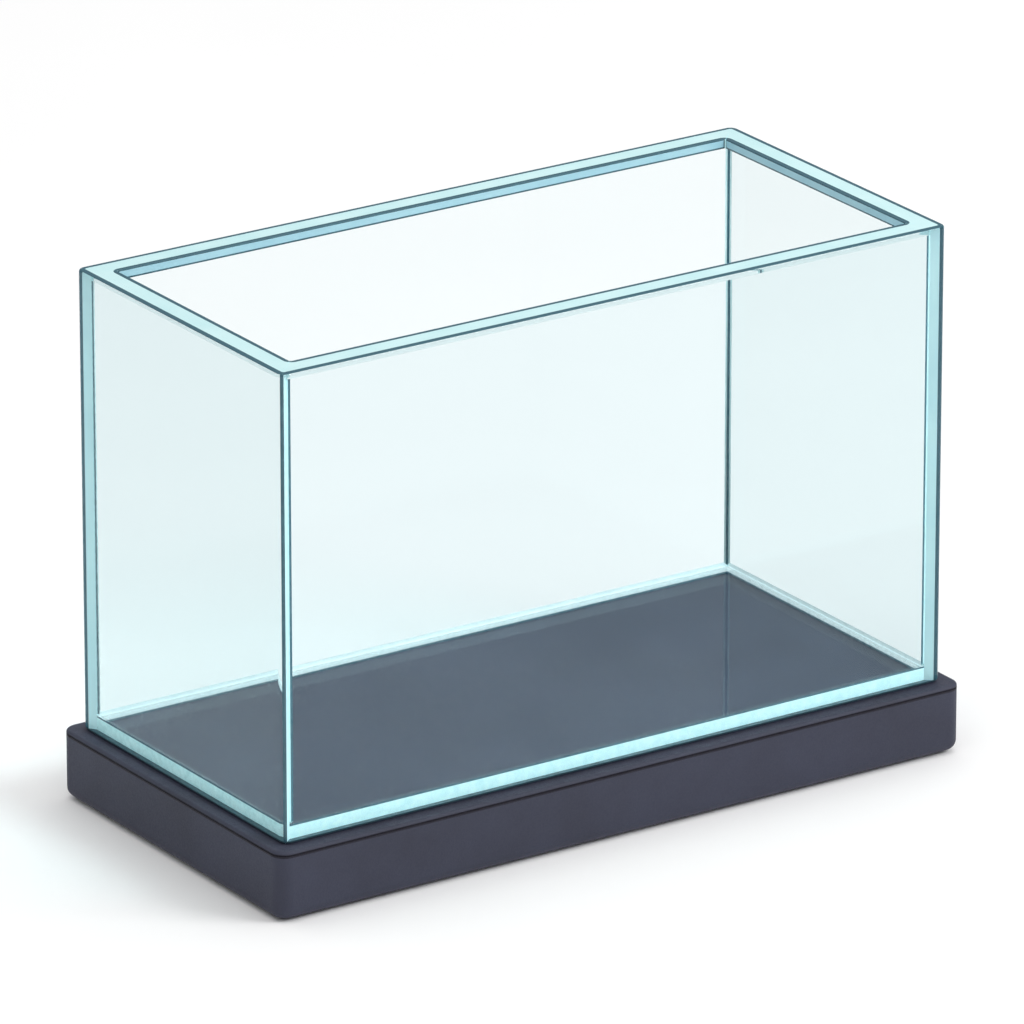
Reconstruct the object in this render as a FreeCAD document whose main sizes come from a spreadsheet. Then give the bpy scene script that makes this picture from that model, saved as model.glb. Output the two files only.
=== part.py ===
import FreeCAD, Part
import math
import os

import Sketcher
from FreeCAD import Placement, Rotation, Vector

# Glass aquarium tank on a moulded plinth, as separate pieces, in millimetres.
#
# The tank is five glass panes. The four walls meet in mitred corners and stand round the bottom pane.
# Four brace strips run inside the top edge, flush with it. Clear silicone bonds every joint and forms a
# bead along each inside corner. The tank stands loose on a foam mat, which lies in a shallow recess in the
# plinth. The plinth is a ribbed moulding with a fine line moulded round its sides, closed below by a
# screwed plate that carries six rubber feet.
#
# +X runs along the tank, +Y to its back and +Z up. The origin is the middle of the underside of the feet.

DRIVING_SIZES = {
    "tank_length": 600,  # the glass box, end to end
    "tank_width": 285,  # front to back
    "tank_height": 370,
    "glass_thickness": 10,  # walls and bottom
    "glass_corner_radius": 7,  # ground and polished outside corners
    "glass_edge_radius": 2,  # polished top and bottom edges
    "bond_gap": 0.8,  # silicone between two panes
    "bead_leg": 3.5,  # silicone bead, along each pane it touches
    "bead_depth": 1.9,  # from the inside corner to the hollow of the bead
    "brace_width": 12.5,
    "brace_thickness": 8,
    "brace_bond": 0.5,
    "plinth_margin": 12,  # how far the plinth stands out past the glass
    "plinth_top": 57,
    "plinth_corner_radius": 12,
    "plinth_top_fillet": 2.5,
    "plinth_foot_fillet": 8,
    "plinth_wall": 10,
    "line_drop": 2.6,  # from the plinth's top to the moulded line round its sides
    "line_height": 1,
    "line_depth": 0.8,
    "deck_thickness": 5,
    "recess_depth": 4,
    "mat_thickness": 5,  # 1 mm proud of the plinth, so the glass never touches the moulding
    "mat_inset": 2,  # how far the mat stops short of the glass outline
    "mat_corner_radius": 6,
    "mat_clearance": 0.5,
    "rim_height": 2,  # clear height under the plinth's lower edge
    "plate_underside": 5,
    "plate_thickness": 3,
    "plate_clearance": 0.5,
    "rib_thickness": 4,
    "boss_radius": 6,
    "pilot_radius": 1.75,
    "pilot_depth": 16,
    "screw_radius": 1.7,
    "screw_reach": 12,  # length in the boss
    "screw_head_radius": 3.8,
    "screw_head_height": 2.1,
    "screw_slot_width": 1.1,
    "screw_slot_length": 4.6,
    "screw_slot_depth": 1.3,
    "clearance_hole_radius": 2.1,
    "foot_radius": 13,
    "foot_draft": 1,  # how much narrower the foot is at the floor
    "foot_counterbore_radius": 5,
    "foot_counterbore_depth": 2.6,
}
RIB_BAYS_ALONG = 12
RIB_BAYS_ACROSS = 6
FOOT_CROSSINGS = [(i, j) for j in (-2, 2) for i in (-5, 0, 5)]  # counted in rib pitches from the middle
PLATE_SCREW_CROSSINGS = [(-5, 0), (5, 0), (-3, -1), (-3, 1), (3, -1), (3, 1)]
SIDES = ("front", "right", "back", "left")
SHEET = "Sizes"
ORIGIN = (-1, 1)  # a sketch's own origin
X_AXIS, Y_AXIS = -1, -2  # a sketch's own axes


class Size:
    """A length in millimetres, with the expression that works it out from the sheet's cells."""

    def __init__(self, value, text):
        self.value, self.text = float(value), text

    def joined(self, sign, value, other):
        return Size(value, f"({self.text} {sign} {as_size(other).text})")

    def __add__(self, other):
        return self.joined("+", self.value + as_size(other).value, other)

    def __sub__(self, other):
        return self.joined("-", self.value - as_size(other).value, other)

    def __mul__(self, other):
        return self.joined("*", self.value * as_size(other).value, other)

    def __truediv__(self, other):
        return self.joined("/", self.value / as_size(other).value, other)

    def __neg__(self):
        return Size(-self.value, f"(-1 * {self.text})")


def as_size(number):
    return number if isinstance(number, Size) else Size(number, repr(number))


def bind(feature, name, size):
    """Sets a feature's property, and ties it to the sheet."""
    feature.setExpression(name, as_size(size).text)


def make_sheet(doc):
    sheet = doc.addObject("Spreadsheet::Sheet", SHEET)
    for row, (alias, value) in enumerate(DRIVING_SIZES.items(), start=1):
        sheet.set(f"A{row}", alias.replace("_", " "))
        sheet.set(f"B{row}", str(value))
        sheet.setAlias(f"B{row}", alias)
    doc.recompute()


doc = FreeCAD.newDocument("aquarium_tank")
make_sheet(doc)
size = {alias: Size(value, f"{SHEET}.{alias}") for alias, value in DRIVING_SIZES.items()}
ROOT_TWO = math.sqrt(2)

# Heights above the floor.
plinth_top = size["plinth_top"]
recess_floor = plinth_top - size["recess_depth"]
tank_floor = recess_floor + size["mat_thickness"]  # the underside of the glass
deck_underside = recess_floor - size["deck_thickness"]
plate_top = size["plate_underside"] + size["plate_thickness"]

# Plan sizes.
glass = size["glass_thickness"]
plinth_length = size["tank_length"] + size["plinth_margin"] * 2
plinth_width = size["tank_width"] + size["plinth_margin"] * 2
cavity_length = plinth_length - size["plinth_wall"] * 2
cavity_width = plinth_width - size["plinth_wall"] * 2
pitch_along = cavity_length / RIB_BAYS_ALONG
pitch_across = cavity_width / RIB_BAYS_ACROSS

# The tank's own sizes, up from the underside of the glass and in from its outer faces.
brace_low = size["tank_height"] - size["brace_thickness"]
brace_inner = glass + size["brace_bond"] + size["brace_width"]


# ---- Sketches and bodies ----


def new_body(name):
    return doc.addObject("PartDesign::Body", name)


def new_sketch(body, name, plane="XY_Plane", lift=None):
    """A sketch on one of the body's own origin planes, lifted along the plane's normal."""
    sketch = body.newObject("Sketcher::SketchObject", f"{body.Name}_{name}")
    support = next(f for f in body.Origin.OriginFeatures if f.Role == plane)
    sketch.AttachmentSupport = (support, [""])
    sketch.MapMode = "FlatFace"
    if lift is not None:
        sketch.AttachmentOffset = Placement(Vector(0, 0, lift.value), Rotation())
        bind(sketch, "AttachmentOffset.Base.z", lift)
    return sketch


def fix_distance(sketch, kind, first, second, distance):
    """Holds second at that distance from first, along X or Y."""
    if distance.value < 0:
        first, second, distance = second, first, -distance
    index = sketch.addConstraint(Sketcher.Constraint(kind, *first, *second, distance.value))
    bind(sketch, f"Constraints[{index}]", distance)


def fix_point(sketch, point, x, y):
    """Holds a point of the sketch at (x, y). A zero puts it on the axis."""
    for kind, place, axis in (("DistanceX", as_size(x), Y_AXIS), ("DistanceY", as_size(y), X_AXIS)):
        if abs(place.value) < 1e-9:
            sketch.addConstraint(Sketcher.Constraint("PointOnObject", *point, axis))
        else:
            fix_distance(sketch, kind, ORIGIN, point, place)


def at(x, y):
    return Vector(as_size(x).value, as_size(y).value, 0)


def outline(sketch, corners, hollow_edge=None, hollow_radius=None):
    """A closed outline through corners. The edge that starts at corner hollow_edge is an arc that
    bulges into the outline, with that radius."""
    places = [at(x, y) for x, y in corners]
    count = len(places)
    for i, start in enumerate(places):
        end = places[(i + 1) % count]
        if i == hollow_edge:
            chord = end - start
            outward = Vector(chord.y, -chord.x, 0).normalize()  # corners run anticlockwise
            reach = math.sqrt(hollow_radius.value**2 - (chord.Length / 2) ** 2)
            centre = (start + end) / 2 + outward * reach
            middle = centre - outward * hollow_radius.value
            sketch.addGeometry(Part.Arc(start, middle, end), False)
        else:
            sketch.addGeometry(Part.LineSegment(start, end), False)
    arc = None if hollow_edge is None else hollow_edge
    first_end = {i: (2, 1) if i == arc else (1, 2) for i in range(count)}  # an arc runs the other way
    for i in range(count):
        following = (i + 1) % count
        sketch.addConstraint(
            Sketcher.Constraint("Coincident", i, first_end[i][1], following, first_end[following][0])
        )
    for i, (x, y) in enumerate(corners):
        fix_point(sketch, (i, first_end[i][0]), x, y)
    if arc is not None:
        index = sketch.addConstraint(Sketcher.Constraint("Radius", arc, hollow_radius.value))
        bind(sketch, f"Constraints[{index}]", hollow_radius)


def rounded_rectangle(sketch, length, width, radius):
    """A rectangle about the sketch's origin, with its corners rounded."""
    first = sketch.GeometryCount
    arcs = [first + i for i in range(4)]
    lines = [first + 4 + i for i in range(4)]
    r = radius.value
    x, y = length.value / 2 - r, width.value / 2 - r
    centres = [Vector(x, y, 0), Vector(-x, y, 0), Vector(-x, -y, 0), Vector(x, -y, 0)]
    for i, centre in enumerate(centres):
        turn = i * math.pi / 2
        circle = Part.Circle(centre, Vector(0, 0, 1), r)
        sketch.addGeometry(Part.ArcOfCircle(circle, turn, turn + math.pi / 2), False)
    for i, centre in enumerate(centres):
        step = Vector(math.cos((i + 1) * math.pi / 2), math.sin((i + 1) * math.pi / 2), 0) * r
        sketch.addGeometry(Part.LineSegment(centre + step, centres[(i + 1) % 4] + step), False)
    for i in range(4):
        sketch.addConstraint(Sketcher.Constraint("Tangent", arcs[i], 2, lines[i], 1))
        sketch.addConstraint(Sketcher.Constraint("Tangent", lines[i], 2, arcs[(i + 1) % 4], 1))
        sketch.addConstraint(Sketcher.Constraint("Vertical" if i % 2 else "Horizontal", lines[i]))
    for arc in arcs[1:]:
        sketch.addConstraint(Sketcher.Constraint("Equal", arcs[0], arc))
    index = sketch.addConstraint(Sketcher.Constraint("Radius", arcs[0], r))
    bind(sketch, f"Constraints[{index}]", radius)
    sketch.addConstraint(Sketcher.Constraint("Symmetric", arcs[0], 3, arcs[2], 3, *ORIGIN))
    fix_distance(sketch, "DistanceX", (arcs[1], 3), (arcs[0], 3), length - radius * 2)
    fix_distance(sketch, "DistanceY", (arcs[3], 3), (arcs[0], 3), width - radius * 2)


def circles(sketch, centres, radius):
    for x, y in centres:
        index = sketch.addGeometry(Part.Circle(at(x, y), Vector(0, 0, 1), radius.value), False)
        fix_point(sketch, (index, 3), x, y)
        held = sketch.addConstraint(Sketcher.Constraint("Radius", index, radius.value))
        bind(sketch, f"Constraints[{held}]", radius)


def pad(body, sketch, length, midplane=False):
    feature = body.newObject("PartDesign::Pad", f"{sketch.Name}_pad")
    feature.Profile = sketch
    feature.Midplane = midplane
    bind(feature, "Length", length)
    doc.recompute()
    return feature


def pocket(body, sketch, depth, upwards=False):
    """Cuts the sketch's outline into the body, and stops if nothing was cut."""
    before = body.Shape.Volume
    feature = body.newObject("PartDesign::Pocket", f"{sketch.Name}_pocket")
    feature.Profile = sketch
    feature.Reversed = upwards
    bind(feature, "Length", depth)
    doc.recompute()
    if not feature.Shape.Volume < before - 1:
        raise ValueError(f"{sketch.Name} cut nothing")
    return feature


def fillet(body, base, edges, radius):
    feature = body.newObject("PartDesign::Fillet", f"{base.Name}_fillet")
    feature.Base = (base, edges)
    bind(feature, "Radius", radius)
    doc.recompute()
    return feature


def level_edges(feature, height):
    """The names of a feature's edges that lie flat at a height."""
    found = []
    for i, edge in enumerate(feature.Shape.Edges, start=1):
        box = edge.BoundBox
        if abs(box.ZMin - height.value) < 1e-4 and abs(box.ZMax - height.value) < 1e-4:
            found.append(f"Edge{i}")
    return found


def combine(kind, label, base, tool):
    """A Part boolean of two objects, such as Part::Common."""
    feature = doc.addObject(kind, label)
    feature.Base, feature.Tool = base, tool
    doc.recompute()
    return feature


# ---- The tank ----


class Side:
    """One wall of the tank. Its own frame has x along the wall, y inwards from the outer face and z up
    from the underside of the glass."""

    def __init__(self, name):
        self.name = name
        turn = SIDES.index(name)
        self.angle = 90 * turn
        lengthwise = turn % 2 == 0
        self.span = size["tank_length"] if lengthwise else size["tank_width"]
        reach = (size["tank_width"] if lengthwise else size["tank_length"]) / 2
        self.x, self.y = [(0, -reach), (reach, 0), (0, reach), (-reach, 0)][turn]

    def place(self, body):
        """Moves a body from the wall's own frame to the tank's."""
        set_place(body, self.x, self.y, self.angle)


def set_place(feature, x, y, angle):
    feature.Placement = Placement(Vector(), Rotation(Vector(0, 0, 1), angle))
    for axis, value in (("x", x), ("y", y), ("z", tank_floor)):
        bind(feature, f"Placement.Base.{axis}", value)


def mitred_run(label, side, outer, inner, low, high, gap):
    """A strip along a wall, from y = outer to y = inner and z = low to high. Its ends are cut at 45
    degrees, half a gap short of the corner's own diagonal."""
    body = new_body(label)
    sketch = new_sketch(body, "plan", lift=as_size(low))
    set_back = gap / ROOT_TWO
    near = side.span / 2 - outer - set_back
    far = side.span / 2 - inner - set_back
    outline(sketch, [(-near, outer), (near, outer), (far, inner), (-far, inner)])
    pad(body, sketch, as_size(high) - low)
    side.place(body)
    return body


def glass_envelope():
    """The whole tank as one block with its outside corners and edges polished round."""
    body = new_body("glass_envelope")
    sketch = new_sketch(body, "plan")
    rounded_rectangle(sketch, size["tank_length"], size["tank_width"], size["glass_corner_radius"])
    block = pad(body, sketch, size["tank_height"])
    edges = level_edges(block, as_size(0)) + level_edges(block, size["tank_height"])
    fillet(body, block, edges, size["glass_edge_radius"])
    set_place(body, as_size(0), as_size(0), 0)
    return body


def wall_pane(side, envelope):
    height = size["tank_height"]
    blank = mitred_run(f"{side.name}_blank", side, as_size(0), glass, 0, height, size["bond_gap"])
    return combine("Part::Common", f"{side.name}_pane", blank, envelope)


def bottom_pane():
    body = new_body("bottom_pane")
    sketch = new_sketch(body, "plan")
    edge = glass + size["bond_gap"]
    x, y = size["tank_length"] / 2 - edge, size["tank_width"] / 2 - edge
    outline(sketch, [(-x, -y), (x, -y), (x, y), (-x, y)])
    pad(body, sketch, glass)
    set_place(body, as_size(0), as_size(0), 0)
    return body


def brace(side):
    """A flat strip of glass bonded inside the wall's top edge."""
    outer, inner, gap = glass + size["brace_bond"], brace_inner, size["bond_gap"]
    return mitred_run(f"{side.name}_brace", side, outer, inner, brace_low, size["tank_height"], gap)


def brace_seam(side):
    inner, gap = glass + size["brace_bond"], size["bond_gap"]
    return mitred_run(f"{side.name}_brace_seam", side, glass, inner, brace_low, size["tank_height"], gap)


def bead_radius():
    """The radius of the bead's hollow face, which is bead_depth from the corner at its middle."""
    half_chord = size["bead_leg"] / ROOT_TWO
    sag = half_chord - size["bead_depth"]
    return (half_chord * half_chord + sag * sag) / (sag * 2)


def base_seam(side):
    """The bond at the edge of the bottom pane, with the bead along the floor above it."""
    leg = size["bead_leg"]
    strip = new_body(f"{side.name}_base_strip")
    sketch = new_sketch(strip, "section", plane="YZ_Plane")
    bond = glass + size["bond_gap"]
    corners = [(glass, 0), (bond, 0), (bond, glass), (glass + leg, glass), (glass, glass + leg)]
    outline(sketch, corners, hollow_edge=3, hollow_radius=bead_radius())
    pad(strip, sketch, side.span, midplane=True)
    side.place(strip)
    ends = mitred_run(f"{side.name}_base_ends", side, glass, glass + leg, 0, glass + leg, as_size(0))
    return combine("Part::Common", f"{side.name}_base_seam", strip, ends)


def corner_seam(label, side_x, side_y, envelope, base_seams):
    """The bond in a mitred corner, with the bead up the inside. Its own frame has x along the corner's
    diagonal, inwards from where the two outer faces would meet."""
    blank = new_body(f"{label}_blank")
    half_gap = size["bond_gap"] / 2
    height = size["tank_height"]
    inner_corner = glass * ROOT_TWO
    half_chord = size["bead_leg"] / ROOT_TWO
    wall_bond = ("wall_bond", inner_corner + half_gap, 0)
    brace_bond = ("brace_bond", brace_inner * ROOT_TWO, brace_low)
    for name, end, low in (wall_bond, brace_bond):
        sketch = new_sketch(blank, name, lift=as_size(low))
        outline(sketch, [(0, -half_gap), (end, -half_gap), (end, half_gap), (0, half_gap)])
        pad(blank, sketch, height - low)
    sketch = new_sketch(blank, "bead", lift=glass)
    wing = inner_corner + half_chord
    corners = [(inner_corner, 0), (wing, -half_chord), (wing, half_chord)]
    outline(sketch, corners, hollow_edge=1, hollow_radius=bead_radius())
    pad(blank, sketch, brace_low - glass)
    turn = math.degrees(math.atan2(-side_y, -side_x))
    set_place(blank, size["tank_length"] / 2 * side_x, size["tank_width"] / 2 * side_y, turn)
    trimmed = combine("Part::Common", f"{label}_trimmed", blank, envelope)
    neighbours = doc.addObject("Part::Compound", f"{label}_neighbours")
    neighbours.Links = base_seams
    return combine("Part::Cut", label, trimmed, neighbours)


def build_tank():
    envelope = glass_envelope()
    sides = {name: Side(name) for name in SIDES}
    pieces = [bottom_pane()]
    pieces += [wall_pane(side, envelope) for side in sides.values()]
    pieces += [brace(side) for side in sides.values()]
    pieces += [brace_seam(side) for side in sides.values()]
    seams = {name: base_seam(side) for name, side in sides.items()}
    pieces += seams.values()
    for end, side_x in (("left", -1), ("right", 1)):
        for face, side_y in (("front", -1), ("back", 1)):
            label = f"{face}_{end}_corner_seam"
            pieces.append(corner_seam(label, side_x, side_y, envelope, [seams[end], seams[face]]))
    return pieces


# ---- The plinth ----


def crossings(counts):
    """Where ribs cross, from the numbers of pitches along and across."""
    return [(pitch_along * i, pitch_across * j) for i, j in counts]


def ribs(body, name, length, width, direction, pitch, count):
    """Parallel ribs under the deck, spread evenly about the middle."""
    sketch = new_sketch(body, name, lift=plate_top)
    first = -(pitch * ((count - 1) / 2))
    x, y = length / 2, width / 2
    middle = (first, as_size(0)) if direction == "X_Axis" else (as_size(0), first)
    corners = [(-x, -y), (x, -y), (x, y), (-x, y)]
    outline(sketch, [(middle[0] + a, middle[1] + b) for a, b in corners])
    rib = pad(body, sketch, deck_underside - plate_top)
    pattern = body.newObject("PartDesign::LinearPattern", f"{body.Name}_{name}_row")
    pattern.Originals = [rib]
    axis = next(f for f in body.Origin.OriginFeatures if f.Role == direction)
    pattern.Direction = (axis, [""])
    pattern.Occurrences = count
    bind(pattern, "Length", pitch * (count - 1))
    body.Tip = pattern
    doc.recompute()


def plinth_shell():
    body = new_body("plinth_shell")
    low = size["rim_height"]
    sketch = new_sketch(body, "plan", lift=low)
    rounded_rectangle(sketch, plinth_length, plinth_width, size["plinth_corner_radius"])
    block = pad(body, sketch, plinth_top - low)
    soft_top = fillet(body, block, level_edges(block, plinth_top), size["plinth_top_fillet"])
    fillet(body, soft_top, level_edges(soft_top, low), size["plinth_foot_fillet"])

    line = new_sketch(body, "line", lift=plinth_top - size["line_drop"])
    for inset in (size["line_depth"], -size["line_depth"]):
        corner = size["plinth_corner_radius"] - inset
        rounded_rectangle(line, plinth_length - inset * 2, plinth_width - inset * 2, corner)
    pocket(body, line, size["line_height"])

    recess = new_sketch(body, "recess", lift=plinth_top)
    spare = (size["mat_inset"] - size["mat_clearance"]) * 2
    corner = size["mat_corner_radius"] + size["mat_clearance"]
    rounded_rectangle(recess, size["tank_length"] - spare, size["tank_width"] - spare, corner)
    pocket(body, recess, size["recess_depth"])

    cavity = new_sketch(body, "cavity", lift=low)
    corner = size["plinth_corner_radius"] - size["plinth_wall"]
    rounded_rectangle(cavity, cavity_length, cavity_width, corner)
    pocket(body, cavity, deck_underside - low, upwards=True)

    thickness = size["rib_thickness"]
    ribs(body, "cross_ribs", thickness, cavity_width, "X_Axis", pitch_along, RIB_BAYS_ALONG - 1)
    ribs(body, "long_ribs", cavity_length, thickness, "Y_Axis", pitch_across, RIB_BAYS_ACROSS - 1)

    places = crossings(FOOT_CROSSINGS + PLATE_SCREW_CROSSINGS)
    bosses = new_sketch(body, "bosses", lift=plate_top)
    circles(bosses, places, size["boss_radius"])
    pad(body, bosses, deck_underside - plate_top)
    pilots = new_sketch(body, "pilots", lift=plate_top)
    circles(pilots, places, size["pilot_radius"])
    pocket(body, pilots, size["pilot_depth"], upwards=True)
    return body


def levelling_mat():
    body = new_body("levelling_mat")
    sketch = new_sketch(body, "plan", lift=recess_floor)
    inset = size["mat_inset"] * 2
    rounded_rectangle(
        sketch, size["tank_length"] - inset, size["tank_width"] - inset, size["mat_corner_radius"]
    )
    pad(body, sketch, size["mat_thickness"])
    return body


def bottom_plate():
    body = new_body("bottom_plate")
    sketch = new_sketch(body, "plan", lift=size["plate_underside"])
    gap = size["plate_clearance"]
    corner = size["plinth_corner_radius"] - size["plinth_wall"] - gap
    rounded_rectangle(sketch, cavity_length - gap * 2, cavity_width - gap * 2, corner)
    pad(body, sketch, size["plate_thickness"])
    holes = new_sketch(body, "holes", lift=plate_top)
    circles(holes, crossings(FOOT_CROSSINGS + PLATE_SCREW_CROSSINGS), size["clearance_hole_radius"])
    pocket(body, holes, size["plate_thickness"])
    return body


def foot(label, x, y):
    """A turned rubber foot with a counterbore for its screw."""
    body = new_body(label)
    sketch = new_sketch(body, "section", plane="XZ_Plane")
    hole, bore = size["clearance_hole_radius"], size["foot_counterbore_radius"]
    step, top = size["foot_counterbore_depth"], size["plate_underside"]
    rim = size["foot_radius"]
    outline(
        sketch,
        [(bore, 0), (rim - size["foot_draft"], 0), (rim, top), (hole, top), (hole, step), (bore, step)],
    )
    turned = body.newObject("PartDesign::Revolution", f"{label}_turned")
    turned.Profile = sketch
    turned.ReferenceAxis = (sketch, ["V_Axis"])
    turned.Angle = 360
    bind(body, "Placement.Base.x", x)
    bind(body, "Placement.Base.y", y)
    doc.recompute()
    return body


def screw_pattern(name, length):
    """One pan-head screw, head down, with its shank rising from the origin."""
    shank = doc.addObject("Part::Cylinder", f"{name}_shank")
    bind(shank, "Radius", size["screw_radius"])
    bind(shank, "Height", length)
    head = doc.addObject("Part::Cylinder", f"{name}_head")
    bind(head, "Radius", size["screw_head_radius"])
    bind(head, "Height", size["screw_head_height"])
    bind(head, "Placement.Base.z", -size["screw_head_height"])
    screw = combine("Part::Fuse", f"{name}_blank", shank, head)
    for i, (along, across) in enumerate([("Length", "Width"), ("Width", "Length")]):
        slot = doc.addObject("Part::Box", f"{name}_slot_{i}")
        bind(slot, along, size["screw_slot_length"])
        bind(slot, across, size["screw_slot_width"])
        bind(slot, "Height", size["screw_slot_depth"])
        for axis, dimension in (("x", "Length"), ("y", "Width")):
            part = size["screw_slot_length"] if dimension == along else size["screw_slot_width"]
            bind(slot, f"Placement.Base.{axis}", -(part / 2))
        bind(slot, "Placement.Base.z", -size["screw_head_height"])
        screw = combine("Part::Cut", f"{name}_cut_{i}", screw, slot)
    return screw


def screws(label, counts, seat):
    """Screws under these rib crossings, as one group, with their heads against a face at height seat."""
    screw = screw_pattern(f"{label}_one", plate_top - seat + size["screw_reach"])
    copies = [
        screw.Shape.translated(Vector(x.value, y.value, seat.value)) for x, y in crossings(counts)
    ]
    group = doc.addObject("Part::Feature", label)
    group.Shape = Part.makeCompound(copies)
    return group


def build_plinth():
    pieces = [plinth_shell(), levelling_mat(), bottom_plate()]
    for number, (x, y) in enumerate(crossings(FOOT_CROSSINGS), start=1):
        pieces.append(foot(f"foot_{number}", x, y))
    pieces.append(screws("foot_screws", FOOT_CROSSINGS, size["foot_counterbore_depth"]))
    pieces.append(screws("plate_screws", PLATE_SCREW_CROSSINGS, size["plate_underside"]))
    return pieces


# ---- Checks and files ----


def stop_if_failed(pieces):
    """Stops on any failed object, and on any sub-part without a valid shape."""
    for feature in doc.Objects:
        if {"Invalid", "Error"} & set(feature.State):
            raise ValueError(f"{feature.Name} failed: {feature.State}")
    for piece in pieces:
        if piece.Shape.isNull() or not piece.Shape.isValid() or not piece.Shape.Solids:
            raise ValueError(f"{piece.Label} has no valid shape")


def write_files(pieces):
    os.makedirs("parts", exist_ok=True)
    for piece in pieces:
        shape = piece.Shape
        shape.exportStep(f"parts/{piece.Label}.step")
        print(f"{piece.Label}: {len(shape.Solids)} solids, {shape.Volume / 1000:.2f} cm3")


all_pieces = build_tank() + build_plinth()
doc.recompute()
stop_if_failed(all_pieces)
write_files(all_pieces)
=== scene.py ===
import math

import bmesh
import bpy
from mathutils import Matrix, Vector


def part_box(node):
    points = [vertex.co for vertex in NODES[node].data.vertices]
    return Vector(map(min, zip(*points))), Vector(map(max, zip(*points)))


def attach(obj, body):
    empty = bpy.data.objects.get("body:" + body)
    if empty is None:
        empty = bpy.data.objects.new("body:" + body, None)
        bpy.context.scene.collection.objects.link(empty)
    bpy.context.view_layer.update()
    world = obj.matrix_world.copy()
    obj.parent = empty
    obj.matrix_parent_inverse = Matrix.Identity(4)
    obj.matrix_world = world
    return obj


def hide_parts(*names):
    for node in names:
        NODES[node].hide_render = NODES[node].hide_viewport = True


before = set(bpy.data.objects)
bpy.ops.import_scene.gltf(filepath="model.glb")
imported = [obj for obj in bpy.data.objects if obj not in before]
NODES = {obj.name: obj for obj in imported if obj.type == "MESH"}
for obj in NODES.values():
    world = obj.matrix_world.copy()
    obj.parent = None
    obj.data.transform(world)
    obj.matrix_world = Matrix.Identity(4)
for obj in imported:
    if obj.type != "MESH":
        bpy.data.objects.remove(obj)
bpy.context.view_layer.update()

# An open glass aquarium on a dark moulded plinth. Glass, silicone, plinth, plate and mat keep their machined
# shape. The brace strips gain polished arrises, and the feet and screws are made again in more detail.
# +X runs along the tank, +Y to its back and +Z up. Sizes are in metres.

MM = 0.001

# ---- Where the tank's faces are, read from the frame ----

OUTER = Vector((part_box("right_pane")[1].x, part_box("back_pane")[1].y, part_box("front_pane")[1].z))
GLASS_THICKNESS = 10 * MM
INNER = Vector((OUTER.x - GLASS_THICKNESS, OUTER.y - GLASS_THICKNESS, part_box("bottom_pane")[1].z))
GLASS_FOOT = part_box("bottom_pane")[0].z
RING_INNER = Vector((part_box("right_brace")[0].x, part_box("back_brace")[0].y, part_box("right_brace")[0].z))
CORNER_RADIUS = 7 * MM  # the tank's outside corners in plan
OPENING_RADIUS = 3 * MM  # how round the border of the ring's opening is at its corners
PLINTH_LOW, PLINTH_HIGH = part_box("plinth_shell")

SIDES = ("front", "right", "back", "left")
LONG_PANES = ["bottom_pane", "front_pane", "back_pane"]
END_PANES = ["left_pane", "right_pane"]
BRACES = [f"{side}_brace" for side in SIDES]
BRACE_SEAMS = [f"{side}_brace_seam" for side in SIDES]
BASE_SEAMS = [f"{side}_base_seam" for side in SIDES]
CORNER_SEAMS = [f"{face}_{end}_corner_seam" for face in ("front", "back") for end in ("left", "right")]
FEET = [f"foot_{number}" for number in range(1, 7)]

# Finishes of a glass piece, of a corner seam, of a base seam and of a brace seam, by slot
FACE, TOP, MITRE, LIP, ARRIS, SEAT = range(6)
BOND, BEAD, OUTSIDE, RIM, WING = range(5)
BASE_OUT, BASE_IN, BASE_BEAD = range(3)
SEAM_TOP, SEAM_HIDDEN = range(2)

ARRIS_WIDTH = 1.0 * MM
ARRIS_REACH = 2.0 * MM  # how far an outside corner's arris reaches to each side of its mitre
SEAM_EDGE = 4 * MM  # how near the tank's outside a mitre seam's face is still part of its outer edge
GLASS_GAP = 0.03 * MM  # keeps a glass face from lying exactly on the silicone or the mat
TOUCH = 0.1 * MM  # how near two faces have to be to count as one plane

# Dark borders that the edges show, as widths or as distances from where they start
RIM_OUTER_BORDER = 4.9 * MM
RIM_INNER_BORDER = 4.2 * MM
MITRE_BORDER = 2.2 * MM
LIP_BORDER = 1.7 * MM
FLOOR_BORDER = 1.3 * MM
MAT_BORDER = 2.6 * MM
BEAD_ROOT = 1.4 * MM
WING_TIP = 1.7 * MM
SPARE = 1 * MM  # how far a border reaches past its edge, so that no sliver is left out
PLINTH_LINE_SHADE = (2.1 * MM, 4.9 * MM)  # where the painted shade of the moulded line starts and ends under the plinth's top
SCUFF_HEIGHT = 6 * MM

DEEP_TEAL = "#37606E"  # float glass seen through its depth
PAINTED_EDGE_GLOW = 0.3  # painted glow: an emission that stands in for light piped through the panes to a cut edge, for each unit of the edge's tint
GLASS_BEND = 1.12  # bends light less than real glass does, so that nothing doubles or goes black at an edge


# ---- Nodes ----


def colour(hex_text):
    """A linear colour from an sRGB hex value."""
    parts = [int(hex_text[i:i + 2], 16) / 255 for i in (1, 3, 5)]
    linear = [p / 12.92 if p <= 0.04045 else ((p + 0.055) / 1.055) ** 2.4 for p in parts]
    return (*linear, 1.0)


def add(tree, kind, inputs=None, **settings):
    """Adds a node with its settings. An input is a plain value, a node, an output or a list of nodes."""
    made = tree.nodes.new(kind)
    for name, value in settings.items():
        setattr(made, name, value)
    for name, value in (inputs or {}).items():
        sources = value if isinstance(value, list) else [value]
        for source in sources:
            if isinstance(source, bpy.types.Node):
                source = next(output for output in source.outputs if output.enabled)
            if isinstance(source, bpy.types.NodeSocket):
                tree.links.new(source, made.inputs[name])
            else:
                made.inputs[name].default_value = source
    return made


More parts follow.
